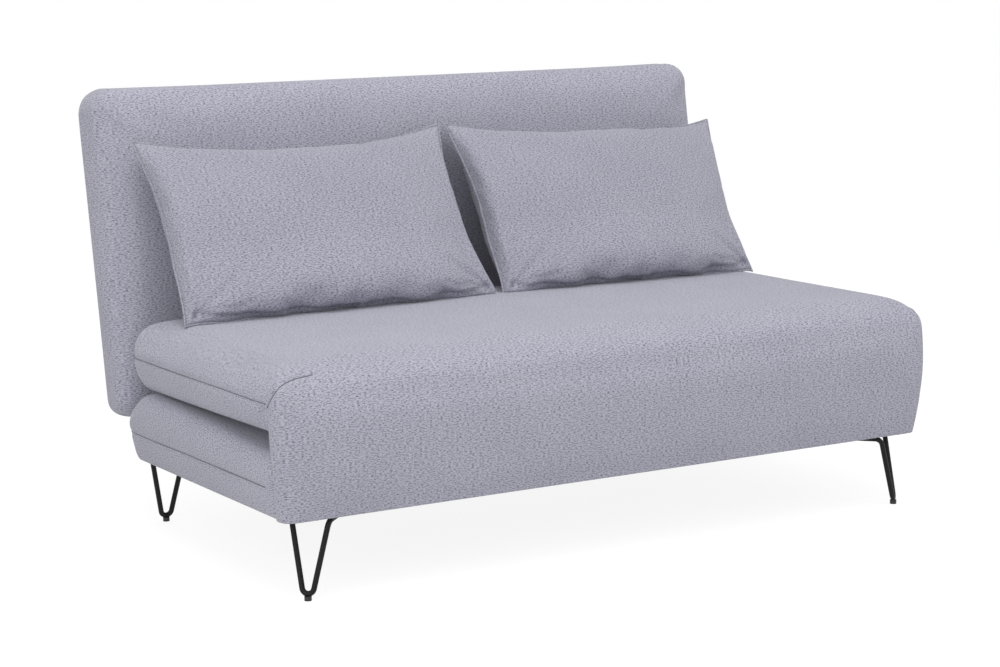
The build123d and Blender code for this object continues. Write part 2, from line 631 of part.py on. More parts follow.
def pillow_shape(inset):
    """A crowned pillow with drawn-in sides, upright about its own centre."""
    half = PILLOW[0] / 2 - inset
    edge = PILLOW_EDGE / 2 - inset
    faces = []
    for i in range(PILLOW_SECTIONS):
        s = -1 + 2 * i / (PILLOW_SECTIONS - 1)
        high = pillow_half_height(s) - inset
        thick = edge + 4 + (PILLOW[2] / 2 - PILLOW_EDGE / 2 - 4) * (1 - abs(s) ** 2.4) ** 0.72
        outline = (
            ThreePointArc((-edge, -high), (-thick, 0), (-edge, high))
            + Line((-edge, high), (edge, high))
            + ThreePointArc((edge, high), (thick, 0), (edge, -high))
            + Line((edge, -high), (-edge, -high))
        )
        faces.append(Plane.YZ.offset(s * half) * make_face(outline))
    body = loft(faces)
    chord = PILLOW[1] / 2
    radius = (chord ** 2 + PILLOW_DRAW_IN ** 2) / (2 * PILLOW_DRAW_IN)
    for side in (-1, 1):
        x = side * (PILLOW[0] / 2 - PILLOW_DRAW_IN + radius)
        body -= rod_y(radius + inset, -PILLOW[2], PILLOW[2], x, 0)
    return body


def pillow_zip():
    """Zip along a pillow's lower seam, with its slider."""
    half, thick = ZIP[0] / 2, ZIP[2]
    ends, mid = pillow_half_height(ZIP[0] / PILLOW[0]) + 0.3, pillow_half_height(0) + 0.3
    band = (
        ThreePointArc((-half, -ends), (0, -mid), (half, -ends))
        + Line((half, -ends), (half, -ends - thick))
        + ThreePointArc((half, -ends - thick), (0, -mid - thick), (-half, -ends - thick))
        + Line((-half, -ends - thick), (-half, -ends))
    )
    tape = extrude(Plane.XZ * make_face(band), ZIP[1] / 2, both=True)
    slider = Pos(half - ZIP_SLIDER[0], 0, -ends - thick) * Box(*ZIP_SLIDER)
    return tape + slider


def pillows():
    """Two loose pillows that stand on the seat and lean on the backrest."""
    outer, inner, filling, zipper = pillow_shape(0.0), pillow_shape(PILLOW_CLOTH), None, pillow_zip()
    filling = pillow_shape(PILLOW_CLOTH + FOAM_GAP)
    lean = Rot(-PILLOW_LEAN, 0, 0)
    low = min((lean * outer).bounding_box().min.Z, (lean * zipper).bounding_box().min.Z)
    reach = PILLOW[1] / 2 * math.sin(math.radians(PILLOW_LEAN))
    for name, x in PILLOW_PLACES.items():
        place = Pos(x, PILLOW_FOOT + reach, SEAT_TOP + PILLOW_LIFT - low) * lean
        parts["pillow_cover_" + name] = place * (outer - inner)
        parts["pillow_filling_" + name] = place * filling
        parts["pillow_zip_" + name] = place * zipper


base_section()
seat_section()
front_panel()
fold_hinges()
legs()
recline_hinges()
back_section()
support_legs()
pillows()

os.makedirs("parts", exist_ok=True)
rear = parts["back_cover"].bounding_box().max.Y
front = parts["front_panel"].bounding_box().min.Y
shift = Pos(0, -(front + rear) / 2, 0)
for name, shape in parts.items():
    export_step(shift * shape, "parts/" + name + ".step")
print("origin", (front + rear) / 2, "fold", FOLD_Y, BED_LEVEL, "pivot", PIVOT_Y, PIVOT_Z)
print("depth", rear - front, "height", parts["back_cover"].bounding_box().max.Z)
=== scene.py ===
"""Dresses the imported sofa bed: covers, pillows, fabric and metal finishes, light and camera."""
import json
import math

import bmesh
import bpy
import numpy as np
from mathutils import Matrix, Vector
from mathutils.bvhtree import BVHTree


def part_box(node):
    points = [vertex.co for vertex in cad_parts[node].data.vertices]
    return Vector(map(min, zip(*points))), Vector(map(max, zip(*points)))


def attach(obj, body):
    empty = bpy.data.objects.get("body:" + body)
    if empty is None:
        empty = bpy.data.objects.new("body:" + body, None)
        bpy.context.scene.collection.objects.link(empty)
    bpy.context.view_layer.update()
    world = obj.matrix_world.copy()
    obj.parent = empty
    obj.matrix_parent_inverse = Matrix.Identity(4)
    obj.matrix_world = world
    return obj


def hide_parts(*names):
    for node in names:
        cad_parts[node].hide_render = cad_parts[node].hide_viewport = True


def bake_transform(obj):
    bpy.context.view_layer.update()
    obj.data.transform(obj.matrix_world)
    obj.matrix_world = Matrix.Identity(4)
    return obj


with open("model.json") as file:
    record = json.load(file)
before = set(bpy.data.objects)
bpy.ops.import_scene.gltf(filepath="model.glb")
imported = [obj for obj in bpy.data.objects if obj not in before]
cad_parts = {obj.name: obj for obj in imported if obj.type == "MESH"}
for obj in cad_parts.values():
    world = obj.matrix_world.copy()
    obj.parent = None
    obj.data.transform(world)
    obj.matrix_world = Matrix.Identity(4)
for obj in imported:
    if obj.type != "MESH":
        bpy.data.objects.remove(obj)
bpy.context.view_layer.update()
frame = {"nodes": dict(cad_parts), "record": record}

# Camera, solved from the photograph
LENS_MM = 84.64
SENSOR_MM = 36.0
CAMERA_AT = (-2.3284, -4.0136, 1.1114)
YAW = math.radians(30.06)
PITCH = math.radians(9.34)
ROLL = math.radians(-0.841)

# Light and floor; each lamp has a name, a place, a diameter in metres and a power in watts
WORLD_LIGHT = 0.58
LAMPS = (
    ("overhead", (-0.6, -0.9, 4.2), 3.6, 92.0),
    ("left", (-3.4, -2.6, 2.2), 2.4, 52.0),
    ("right", (3.4, -2.8, 2.2), 2.4, 36.0),
)
LAMP_AIM = (0.0, 0.0, 0.4)
FLOOR_REACH = 30.0
FLOOR_COLOUR = (0.82, 0.82, 0.82, 1.0)
FLOOR_ROUGH = 0.9
FLOOR_GLOW = 1.12
GLOW_SHARE = 0.8

# Fabric: yarn colours, the share that darkens the pillow cloth as painted shade, noise cells and threads
# per metre, and the surface
LIGHT_YARN = (0.485, 0.480, 0.565)
DARK_YARN = (0.150, 0.150, 0.188)
# The pillow cloth is the upholstery melange darkened by this share: painted shade for the overhead light
# that falls on the leant-back pillows
PILLOW_PAINTED_SHADE = 0.90
FLECK_SCALE = (190.0, 560.0)
FLECK_STOPS = (0.37, 0.47, 0.55)
FLECK_MIDDLE = 0.60
THREAD_SCALE = (420.0, 1000.0)
THREAD_STOPS = (0.30, 0.65)
THREAD_DEEP = (0.80, 0.80, 0.81)
CLOUD_SCALE = (7.0, 9.0)
CLOUD_STOPS = (0.30, 0.70)
CLOUD_DEEP = (0.94, 0.94, 0.95)
WHITE = (1.0, 1.0, 1.0)
WEFT_SCALE = 420.0
WARP_SCALE = 380.0
WEAVE_WOBBLE = 1.2
SLUB_SHARE = 0.35
WEAVE_BUMP = 0.35
WEAVE_DEPTH = 0.0008
FABRIC_ROUGH = 0.92
FABRIC_SPECULAR = 0.18
FABRIC_SHEEN = 0.22
SHEEN_ROUGH = 0.45
UPWARD_BIAS = 0.08

# Other finishes: shares of the colour in pale and deep spots, and how far gloss and surface change
PALE_SHARE = 1.25
PALE_LIFT = 0.004
DEEP_SHARE = 0.8
TONE_STOPS = (0.3, 0.7)
GLOSS_CHANGE = 0.08
FINISH_BUMP = 0.2

# Places read from the frame, in metres
SEAT_LOW, SEAT_HIGH = (Vector(c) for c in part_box("seat_cover"))
BASE_LOW, BASE_HIGH = (Vector(c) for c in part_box("base_cover"))
FRONT = Vector(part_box("front_panel")[0]).y
JOINTS = {j["name"]: j for j in frame["record"]["behaviour"]["joints"]}
FOLD = Vector(JOINTS["seat_fold"]["pos_m"])
PIVOT = Vector(JOINTS["back_recline"]["pos_m"])
BACK_TILT = math.radians(90.0 - JOINTS["back_recline"]["range_deg"][1])
COVER_EASE = 0.003
HALF = SEAT_HIGH.x + COVER_EASE

# Cells of the forms, and cloth under pressure: its force, its frames and how far a point may move
GRID = 0.012
COARSE_GRID = 0.016
SKIN_VOXEL = 0.0085
PRESSURE = 3.0
PAD_FRAMES = 10
PAD_CAP = 0.006
BACK_CAP = 0.007
PILLOW_FRAMES = 15
PILLOW_CAP = 0.2
FACES_UP = 0.6

# Sides of seat and base, drawn in from a little above the fold downward, and the hanging lower rim
SIDE_TAPER = 0.013
TAPER_START = 0.02
TAPER_LIMIT = 1.1
TAPER_POWER = 1.6
RIM_BAND = (0.012, 0.034)
RIM_DROP = 0.002
RIM_DROP_REAR = 0.012

# Seat and front; edge radii are those of the low and of the high sides along x, y and z
SEAT_EDGES = ((0.046, 0.050, 0.052), (0.046, 0.056, 0.056))
SEAT_FRONT_SET = 0.002
SEAT_CROWN = 0.008
CROWN_START = 0.06
CROWN_END = 0.02
SEAT_SAG = 0.018
SEAT_REAR_SET = 0.008
REARWARD_START = 0.08
BLOCK_EDGES = ((0.022, 0.030, 0.003), (0.022, 0.004, 0.040))
FOLD_BLOCK = 0.050
BLOCK_SIDE_SET = 0.001
BLOCK_TOP_SET = 0.016
BLOCK_SPARE = 0.022
FRONT_RECESS = 0.013
RECESS_LIMIT = 1.2
FRONT_BAND = (0.03, 0.12)
HEM = 0.02
UNDERSIDE_BACK = 0.028
UNDERSIDE_HIGH = 0.012
SEAM_BACK = 0.09
SEAT_SEAM_HOLD = 0.006

# Fold: the band cleared in the cover there and the strips over the hinge leaves
FOLD_SLOPE = 0.08
FOLD_CLEAR = 0.0024
FLAP_INSET = 0.040
FLAP_NEAR = 0.005
FLAP_FAR = 0.075
FLAP_THICK = 0.0004

# Base
BASE_EDGES = ((0.026, 0.004, 0.004), (0.026, 0.026, 0.046))
BASE_OVERLAP = 0.010
RIM_HEIGHT = 0.06
KNEE_Z = 0.185
HEEL_SET = 0.012
REAR_LEAN = 0.004
REAR_REACH = 0.18
TOP_FADE = 0.02
REAR_TOP_REACH = 0.13
REAR_TOP_DROP = 0.040
SLOT_BAND = (0.11, 0.05)
SLOT_DROP = 0.020
SLOT_POWER = 1.5
BASE_SAG = 0.006
BASE_FRONT_HOLD = 0.004
BASE_REAR_HOLD = 0.05
BASE_SEAM_HOLD = 0.007

# Backrest, upright about its pivot; its cloth is held at the foot and in a row along the edge
BACK_EDGES = ((0.050, 0.036, 0.034), (0.050, 0.040, 0.050))
BACK_SIDE_SET = 0.001
BACK_DEPTH = (-0.045, 0.067)
BACK_HEIGHT = (-0.031, 0.625)
BACK_FOOT_HOLD = 0.10
BACK_ROW_Y = 0.040
BACK_ROW_HOLD = 0.007

# Seams and creases; a side seam has (back, up) points along the side and (inward, up) points at the rear
SEAM_RADIUS = 0.0009
SEAM_DEPTH = 0.0024
SEAM_WIDTH = 0.006
EVENING_PASSES = 6
THREAD_SUNK = 0.75
SEAT_SEAM_Z = 0.344
SEAT_SEAM_SIDE = ((0.050, 0.006), (0.25, 0.004), (0.58, -0.003))
SEAT_SEAM_REAR = ((0.03, -0.004), (0.12, -0.004))
BASE_SEAM_Z = 0.194
BASE_SEAM_SIDE = ((0.072, 0.004), (0.35, 0.0), (0.62, -0.005))
BASE_SEAM_REAR = ((0.02, -0.006), (0.10, -0.006))
# Corner dart: its reach on each side, and points as a share of the reach, back from the front and height
DART_REACH = {"left": 0.090, "right": 0.022}
DART_LINE = ((0.0, 0.046, 0.345), (0.11, 0.024, 0.372), (0.50, 0.024, 0.396), (1.0, 0.034, 0.404))
DART_DEPTH = 0.003
# Gathers at the front end of the slot: a row of short creases, each leaning forward as it rises
GATHERS = 3
GATHER_BACK = 0.052
GATHER_STEP = 0.014
GATHER_FOOT_Z = 0.296
GATHER_FOOT_RISE = 0.004
GATHER_MIDDLE = (0.004, 0.318)
GATHER_TOP = (0.012, 0.340)
GATHER_DEPTH = 0.005
GATHER_WIDTH = 0.0048
# One long soft crease below the gathers, as points back from the front and height
PULL_LINE = ((0.056, 0.284), (0.050, 0.240), (0.054, 0.205))
PULL_DEPTH = 0.003
PULL_WIDTH = 0.006

# Pillows
PILLOW_LEAN = math.radians(32.0)
PILLOW_SIZE = (0.680, 0.390, 0.134)
PILLOW_FLAT = (0.700, 0.405)
PILLOW_CELLS = (86, 50)
PILLOW_GAP = 0.012
TOP_DRAWN_IN = 0.024
SIDE_DRAWN_IN = 0.007
DRAWN_IN_POWER = 1.8
FOOT_FULLER = 0.12
FOOT_FORWARD = 0.032
FOOT_SINK = 0.003
PRESS = 0.006
SEAT_CLEAR = 0.0005
SEAT_EDGE_BAND = (0.075, 0.02)
SEAT_EDGE_DROP = 0.012
RIPPLE_LENGTH = 0.085
RIPPLE_DEPTH = 0.0035
RIPPLE_RISE = 0.0026
RIPPLE_BEAT = 0.31
RISE_RATE = 0.83
RISE_START = 1.3
# Where a change starts on a pillow, with -1 at its foot or left side and 1 at its top or right side
NARROW_FROM = 0.6
STRAIGHT_FROM = 0.2
FORWARD_FROM = -0.30
RIPPLE_FROM = -0.70
CORNER_FROM = (0.1, -0.6)
WELT_RADIUS = 0.0022
WELT_SIDES = 8
# Creases above the foot, in cells: the row of the lip, its ends and step, and lines from each corner
LIP_ROW = 2
LIP_START = 4
LIP_STEP = 3
LIP_DEPTH = 0.0045
LIP_WIDTH = 0.005
CORNER_START = 3
CORNER_LINES = ((13, 3), (10, 8), (4, 11))
CORNER_PARTS = 4
CORNER_DEPTH = 0.0035
CORNER_WIDTH = 0.006
# Each pillow: share of its full width, shift to the right, share its foot narrows and how far it shifts,
# drop of its outer top corner, start of its ripple
PILLOW_SET = {
    "left": (1.0, 0.012, 0.0, 0.0, 0.0, 0.4),
    "right": (0.968, 0.010, 0.058, -0.020, 0.026, 2.1),
}


def link(name, mesh):
    """A new object of that name in the scene."""
    obj = bpy.data.objects.new(name, mesh)
    bpy.context.scene.collection.objects.link(obj)
    return obj


def to_array(mesh):
    """A mesh's points as an array."""
    co = np.empty(len(mesh.vertices) * 3)
    mesh.vertices.foreach_get("co", co)
    return co.reshape(-1, 3)


def from_array(mesh, co):
    """Moves a mesh's points."""
    mesh.vertices.foreach_set("co", co.ravel())
    mesh.update()


def smoothstep(a, b, v):
    """0 before a, 1 after b and smooth between them."""
    t = np.clip((v - a) / (b - a), 0, 1)
    return t * t * (3 - 2 * t)


def rounded_block(name, low, high, round_low, round_high, grid=GRID):
    """A closed block of square cells with its own edge radius on each of its six sides."""
    low, high = np.array(low, float), np.array(high, float)
    counts = np.maximum(2, np.round((high - low) / grid).astype(int))
    points, faces = {}, []

    def corner(i, j, k):
        """Number of the grid point at these steps."""
        return points.setdefault((i, j, k), len(points))

    for axis in range(3):
        a, b = (axis + 1) % 3, (axis + 2) % 3
        for end in (0, counts[axis]):
            for i in range(counts[a]):
                for j in range(counts[b]):
                    quad = []
                    for di, dj in ((0, 0), (1, 0), (1, 1), (0, 1)):
                        step = [0, 0, 0]
                        step[axis], step[a], step[b] = end, i + di, j + dj
                        quad.append(corner(*step))
                    faces.append(quad if end else quad[::-1])
    co = low + (high - low) * np.array(list(points)) / counts
    radius_low, radius_high = np.array(round_low, float), np.array(round_high, float)
    core = np.clip(co, low + radius_low, high - radius_high)
    out = co - core
    radius = np.where(out < 0, radius_low, radius_high)
    size = np.linalg.norm(out / np.maximum(radius, 1e-6), axis=1)
    moved = size > 1e-9
    co[moved] = core[moved] + out[moved] / size[moved, None]
    mesh = bpy.data.meshes.new(name)
    mesh.from_pydata(co.tolist(), [], faces)
    return link(name, mesh)


def apply_modifiers(obj):
    """Turns an object's modifiers into its mesh."""
    graph = bpy.context.evaluated_depsgraph_get()
    mesh = bpy.data.meshes.new_from_object(obj.evaluated_get(graph), depsgraph=graph)
    old = obj.data
    obj.modifiers.clear()
    obj.data = mesh
    bpy.data.meshes.remove(old)


def remesh(obj, voxel):
    """Joins overlapping closed forms into one skin."""
    mod = obj.modifiers.new("skin", "REMESH")
    mod.mode = "VOXEL"
    mod.voxel_size = voxel
    smooth = obj.modifiers.new("relax", "SMOOTH")
    smooth.factor = 0.5
    smooth.iterations = 4
    apply_modifiers(obj)


def join(target, other):
    """Adds another object's mesh to the target."""
    bm = bmesh.new()
    bm.from_mesh(target.data)
    bm.from_mesh(other.data)
    bm.to_mesh(target.data)
    bm.free()
    bpy.data.objects.remove(other)


def box_uv(obj):
    """Lays the weave straight over each side, in metres."""
    mesh = obj.data
    layer = mesh.uv_layers.get("weave") or mesh.uv_layers.new(name="weave")
    co = to_array(mesh)
    index = np.empty(len(mesh.loops), int)
    mesh.loops.foreach_get("vertex_index", index)
    facing = np.empty(len(mesh.polygons) * 3)
    mesh.polygons.foreach_get("normal", facing)
    facing = np.abs(facing.reshape(-1, 3)) + np.array([0.0, 0.0, UPWARD_BIAS])
    total = np.empty(len(mesh.polygons), int)
    mesh.polygons.foreach_get("loop_total", total)
    axis = np.repeat(facing.argmax(axis=1), total)
    across = np.where(axis == 0, 1, 0)
    upward = np.where(axis == 2, 1, 2)
    uv = np.stack([co[index, across], co[index, upward]], axis=1)
    layer.data.foreach_set("uv", uv.ravel())


def node(tree, kind, **values):
    """A shader node with its settings and plain inputs."""
    made = tree.nodes.new(kind)
    for key, value in values.items():
        if key in made.inputs:
            made.inputs[key].default_value = value
        else:
            setattr(made, key, value)
    return made


def new_material(name):
    """A new material, its node tree and the shader in it."""
    mat = bpy.data.materials.new(name)
    mat.use_nodes = True
    tree = mat.node_tree
    shader = tree.nodes["Principled BSDF"]
    return mat, tree, shader


def stretched_noise(tree, source, scale_u, scale_v, detail, rough):
    """Noise drawn out along the weft, from a coordinate output."""
    mapping = node(tree, "ShaderNodeMapping")
    mapping.inputs["Scale"].default_value = (scale_u, scale_v, 1.0)
    noise = node(tree, "ShaderNodeTexNoise", Scale=1.0, Detail=detail, Roughness=rough)
    tree.links.new(source, mapping.inputs["Vector"])
    tree.links.new(mapping.outputs["Vector"], noise.inputs["Vector"])
    return noise.outputs["Fac"]


def ramp(tree, factor, stops):
    """A colour ramp over a factor, from (place, colour) stops."""
    stops = list(stops)
    made = node(tree, "ShaderNodeValToRGB")
    elements = made.color_ramp.elements
    while len(elements) < len(stops):
        elements.new(0.5)
    for element, (place, colour) in zip(elements, stops):
        element.position = place
        element.color = (*colour, 1.0)
    tree.links.new(factor, made.inputs["Fac"])
    return made.outputs["Color"]


def mix(tree, kind, factor, a, b):
    """Mixes two colours; factor and the colours may be sockets or values."""
    made = node(tree, "ShaderNodeMix", data_type="RGBA", blend_type=kind)
    for socket, value in ((made.inputs[0], factor), (made.inputs[6], a), (made.inputs[7], b)):
        if isinstance(value, bpy.types.NodeSocket):
            tree.links.new(value, socket)
        else:
            socket.default_value = value
    return made.outputs[2]


def fabric_material(name, light, dark):
    """Mélange upholstery cloth: light yarn with dark flecks along the weft, and a fine plain weave."""
    mat, tree, shader = new_material(name)
    uv = node(tree, "ShaderNodeUVMap", uv_map="weave").outputs["UV"]
    fleck = stretched_noise(tree, uv, *FLECK_SCALE, 4.0, 0.65)
    thread = stretched_noise(tree, uv, *THREAD_SCALE, 2.0, 0.5)
    cloud = stretched_noise(tree, uv, *CLOUD_SCALE, 3.0, 0.5)
    middle = tuple(FLECK_MIDDLE * a + (1 - FLECK_MIDDLE) * b for a, b in zip(light, dark))
    colour = ramp(tree, fleck, zip(FLECK_STOPS, (dark, middle, light)))
    threads = ramp(tree, thread, zip(THREAD_STOPS, (THREAD_DEEP, WHITE)))
    clouds = ramp(tree, cloud, zip(CLOUD_STOPS, (CLOUD_DEEP, WHITE)))
    colour = mix(tree, "MULTIPLY", 1.0, colour, threads)
    colour = mix(tree, "MULTIPLY", 1.0, colour, clouds)
    tree.links.new(colour, shader.inputs["Base Color"])
    weft, warp = (
        node(tree, "ShaderNodeTexWave", wave_type="BANDS", bands_direction=direction, Scale=scale,
             Distortion=WEAVE_WOBBLE, Detail=1.0)
        for direction, scale in (("Y", WEFT_SCALE), ("X", WARP_SCALE)))
    for wave in (weft, warp):
        tree.links.new(uv, wave.inputs["Vector"])
    weave = node(tree, "ShaderNodeMath", operation="MULTIPLY")
    tree.links.new(weft.outputs["Fac"], weave.inputs[0])
    tree.links.new(warp.outputs["Fac"], weave.inputs[1])
    slub = node(tree, "ShaderNodeMath", operation="MULTIPLY_ADD")
    tree.links.new(fleck, slub.inputs[0])
    slub.inputs[1].default_value = SLUB_SHARE
    tree.links.new(weave.outputs[0], slub.inputs[2])
    bump = node(tree, "ShaderNodeBump", Strength=WEAVE_BUMP, Distance=WEAVE_DEPTH)
    tree.links.new(slub.outputs[0], bump.inputs["Height"])
    tree.links.new(bump.outputs["Normal"], shader.inputs["Normal"])
    shader.inputs["Roughness"].default_value = FABRIC_ROUGH
    shader.inputs["Specular IOR Level"].default_value = FABRIC_SPECULAR
    shader.inputs["Sheen Weight"].default_value = FABRIC_SHEEN
    shader.inputs["Sheen Roughness"].default_value = SHEEN_ROUGH
    return mat


def noisy_material(name, colour, rough, scale, bump_height, metallic=0.0, specular=0.5):
    """Paint, plated metal, plastic or timber with a little change in tone, gloss and surface."""
    mat, tree, shader = new_material(name)
    where = node(tree, "ShaderNodeTexCoord").outputs["Object"]
    noise = node(tree, "ShaderNodeTexNoise", Scale=scale, Detail=4.0, Roughness=0.6)
    tree.links.new(where, noise.inputs["Vector"])
    pale = tuple(min(1.0, PALE_SHARE * c + PALE_LIFT) for c in colour)
    deep = tuple(DEEP_SHARE * c for c in colour)
    tone = ramp(tree, noise.outputs["Fac"], zip(TONE_STOPS, (deep, pale)))
    tree.links.new(tone, shader.inputs["Base Color"])
    gloss = node(tree, "ShaderNodeMapRange")
    gloss.inputs["To Min"].default_value = rough - GLOSS_CHANGE
    gloss.inputs["To Max"].default_value = rough + GLOSS_CHANGE
    tree.links.new(noise.outputs["Fac"], gloss.inputs["Value"])
    tree.links.new(gloss.outputs["Result"], shader.inputs["Roughness"])
    bump = node(tree, "ShaderNodeBump", Strength=FINISH_BUMP, Distance=bump_height)
    tree.links.new(noise.outputs["Fac"], bump.inputs["Height"])
    tree.links.new(bump.outputs["Normal"], shader.inputs["Normal"])
    shader.inputs["Metallic"].default_value = metallic
    shader.inputs["Specular IOR Level"].default_value = specular
    return mat


ZIP_TAPE = noisy_material("zip_tape", (0.15, 0.15, 0.18), 0.8, 700.0, 0.0003)
THREAD = noisy_material("seam_thread", (0.16, 0.16, 0.19), 0.85, 600.0, 0.0003)
FABRIC = fabric_material("grey_melange", LIGHT_YARN, DARK_YARN)
# Pillow cloth: a darker copy of the upholstery melange, painted shade for the light on the leant-back
# pillows
PILLOW_SHADED_YARNS = (tuple(PILLOW_PAINTED_SHADE * c for c in yarn) for yarn in (LIGHT_YARN, DARK_YARN))
PILLOW_SHADED_FABRIC = fabric_material("pillow_melange_painted_shade", *PILLOW_SHADED_YARNS)
FINISH = {
    "upholstery": FABRIC,
    "pillow_cloth": PILLOW_SHADED_FABRIC,
    "foam": noisy_material("foam", (0.70, 0.64, 0.46), 0.9, 60.0, 0.001),
    "pillow_fibre": noisy_material("fibre", (0.8, 0.8, 0.78), 0.95, 80.0, 0.001),
    "lining": noisy_material("lining", (0.012, 0.012, 0.013), 0.9, 400.0, 0.0006),
    "webbing": noisy_material("webbing", (0.02, 0.02, 0.02), 0.9, 300.0, 0.0006),
    "timber": noisy_material("timber", (0.48, 0.31, 0.15), 0.6, 25.0, 0.0005),
    "slat_ply": noisy_material("slat_ply", (0.56, 0.38, 0.2), 0.55, 30.0, 0.0004),
    "leg_steel": noisy_material("satin_black", (0.005, 0.005, 0.0055), 0.5, 180.0, 0.0002, 0.0, 0.2),
    "hinge_steel": noisy_material("zinc_plate", (0.46, 0.46, 0.47), 0.4, 120.0, 0.0002, 1.0),
    "glide_plastic": noisy_material("black_plastic", (0.012, 0.012, 0.012), 0.5, 250.0, 0.0002),
    "foot_rubber": noisy_material("rubber", (0.015, 0.015, 0.015), 0.75, 200.0, 0.0003),
    "zip_metal": noisy_material("zip_metal", (0.52, 0.52, 0.53), 0.35, 300.0, 0.0002, 1.0),
}


def dress_frame():
    """Gives every CAD node its finish."""
    for part in frame["record"]["subparts"]:
        obj = frame["nodes"][part["node"]]
        finish = ZIP_TAPE if part["node"].startswith("pillow_zip") else FINISH[part["material_slot"]]
        obj.data.materials.clear()
        obj.data.materials.append(finish)


def dress(obj, slot):
    """Gives a new upholstered piece smooth shading and the finish of its slot."""
    for poly in obj.data.polygons:
        poly.use_smooth = True
    obj.data.materials.clear()
    obj.data.materials.append(FINISH[slot])


def cloth(obj, pinned, frames, cap):
    """Swells a pad as cloth under pressure; pinned points stay, and none moves beyond the cap."""
    start = to_array(obj.data)
    group = obj.vertex_groups.new(name="pin")
    group.add(np.nonzero(pinned)[0].tolist(), 1.0, "REPLACE")
    mod = obj.modifiers.new("cloth", "CLOTH")
    settings = mod.settings
    settings.quality = 5
    settings.mass = 0.15
    settings.tension_stiffness = settings.compression_stiffness = 40
    settings.shear_stiffness = 15
    settings.bending_stiffness = 0.5
    settings.tension_damping = settings.compression_damping = settings.shear_damping = 25
    settings.bending_damping = 1.0
    settings.air_damping = 2
    settings.use_pressure = True
    settings.uniform_pressure_force = PRESSURE
    settings.effector_weights.gravity = 0
    settings.vertex_group_mass = "pin"
    scene = bpy.context.scene
    for step in range(1, frames + 1):
        scene.frame_set(step)
    graph = bpy.context.evaluated_depsgraph_get()
    moved = to_array(obj.evaluated_get(graph).data)
    obj.modifiers.clear()
    obj.vertex_groups.clear()
    scene.frame_set(1)
    shift = moved - start
    reach = np.maximum(np.linalg.norm(shift, axis=1), 1e-9)
    from_array(obj.data, start + shift * (cap * np.tanh(reach / cap) / reach)[:, None])


def normals(mesh):
    """A mesh's point normals as an array."""
    out = np.empty(len(mesh.vertices) * 3)
    mesh.vertex_normals.foreach_get("vector", out)
    return out.reshape(-1, 3)


def subdivide(obj):
    """One smooth subdivision, applied."""
    mod = obj.modifiers.new("fine", "SUBSURF")
    mod.levels = mod.render_levels = 1
    apply_modifiers(obj)


def curve_points(points, step=0.004):
    """Points close together along a smooth line through the given ones."""
    points = [Vector(p) for p in points]
    ends = [2 * points[0] - points[1]] + points + [2 * points[-1] - points[-2]]
    out = []
    for p0, p1, p2, p3 in zip(ends, ends[1:], ends[2:], ends[3:]):
        count = max(1, round((p2 - p1).length / step))
        for k in range(count):
            t = k / count
            out.append(0.5 * (2 * p1 + t * (p2 - p0) + t * t * (2 * p0 - 5 * p1 + 4 * p2 - p3)
                              + t ** 3 * (3 * p1 - p0 - 3 * p2 + p3)))
    return out + [points[-1]]


def on_surface(obj, points):
    """The nearest places on an object's surface, and the normals there."""
    bm = bmesh.new()
    bm.from_mesh(obj.data)
    tree = BVHTree.FromBMesh(bm)
    bm.free()
    hits = [tree.find_nearest(p) for p in points]
    return [hit[0] for hit in hits], [hit[1] for hit in hits]


def groove(obj, points, depth, width):
    """Draws the surface in along a line that lies on it."""
    line = np.array([tuple(p) for p in points])
    co, out = to_array(obj.data), normals(obj.data)
    low, high = line.min(axis=0) - 4 * width, line.max(axis=0) + 4 * width
    near = np.nonzero(((co > low) & (co < high)).all(axis=1))[0]
    gap = np.full(len(near), 1.0)
    for p in line:
        gap = np.minimum(gap, np.linalg.norm(co[near] - p, axis=1))
    co[near] -= out[near] * (depth * np.exp(-(gap / width) ** 2))[:, None]
    from_array(obj.data, co)


def tube(name, points, radius, sides=6, closed=False):
    """A thin tube along points."""
    points = [Vector(p) for p in points]
    verts, faces, count = [], [], len(points)
    side = None
    for i, p in enumerate(points):
        ahead = points[(i + 1) % count] if closed else points[min(i + 1, count - 1)]
        behind = points[i - 1] if closed or i else points[0]
        along = (ahead - behind).normalized()
        side = along.orthogonal() if side is None else side - along * side.dot(along)
        side.normalize()
        third = along.cross(side)
        for k in range(sides):
            turn = 2 * math.pi * k / sides
            verts.append(p + radius * (math.cos(turn) * side + math.sin(turn) * third))
    for i in range(count if closed else count - 1):
        a, b = i * sides, (i + 1) % count * sides
        for k in range(sides):
            m = (k + 1) % sides
            faces.append((a + k, b + k, b + m, a + m))
    if not closed:
        faces.append(tuple(range(sides)))
        faces.append(tuple((count - 1) * sides + k for k in reversed(range(sides))))
    mesh = bpy.data.meshes.new(name)
    mesh.from_pydata([tuple(v) for v in verts], [], faces)
    return link(name, mesh)


def settled(obj, points):
    """Places on an object's surface along a line, evened out, and the normals there."""
    places, outs = on_surface(obj, points)
    for _ in range(EVENING_PASSES):
        middle = [(p + 2 * q + r) / 4 for p, q, r in zip(places, places[1:], places[2:])]
        places, outs = on_surface(obj, places[:1] + middle + places[-1:])
    return places, outs


def seam(obj, name, points, body, depth=SEAM_DEPTH, width=SEAM_WIDTH):
    """A sewn seam: the cloth drawn in along a line, with the thread lying in it."""
    places, outs = settled(obj, curve_points(points))
    groove(obj, places, depth, width)
    thread = tube(name, [p - n * (THREAD_SUNK * depth) for p, n in zip(places, outs)], SEAM_RADIUS)
    thread.data.materials.append(THREAD)
    for poly in thread.data.polygons:
        poly.use_smooth = True
    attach(thread, body)


def crease(obj, points, depth, width):
    """A soft fold in the cloth along a line."""
    places, _ = settled(obj, curve_points(points))
    groove(obj, places, depth, width)


def taper(co):
    """Draws the sides in towards the floor."""
    drop = np.clip((FOLD.z + TAPER_START - co[:, 2]) / (FOLD.z - BASE_LOW.z), 0, TAPER_LIMIT)
    co[:, 0] *= 1 - SIDE_TAPER / HALF * drop ** TAPER_POWER


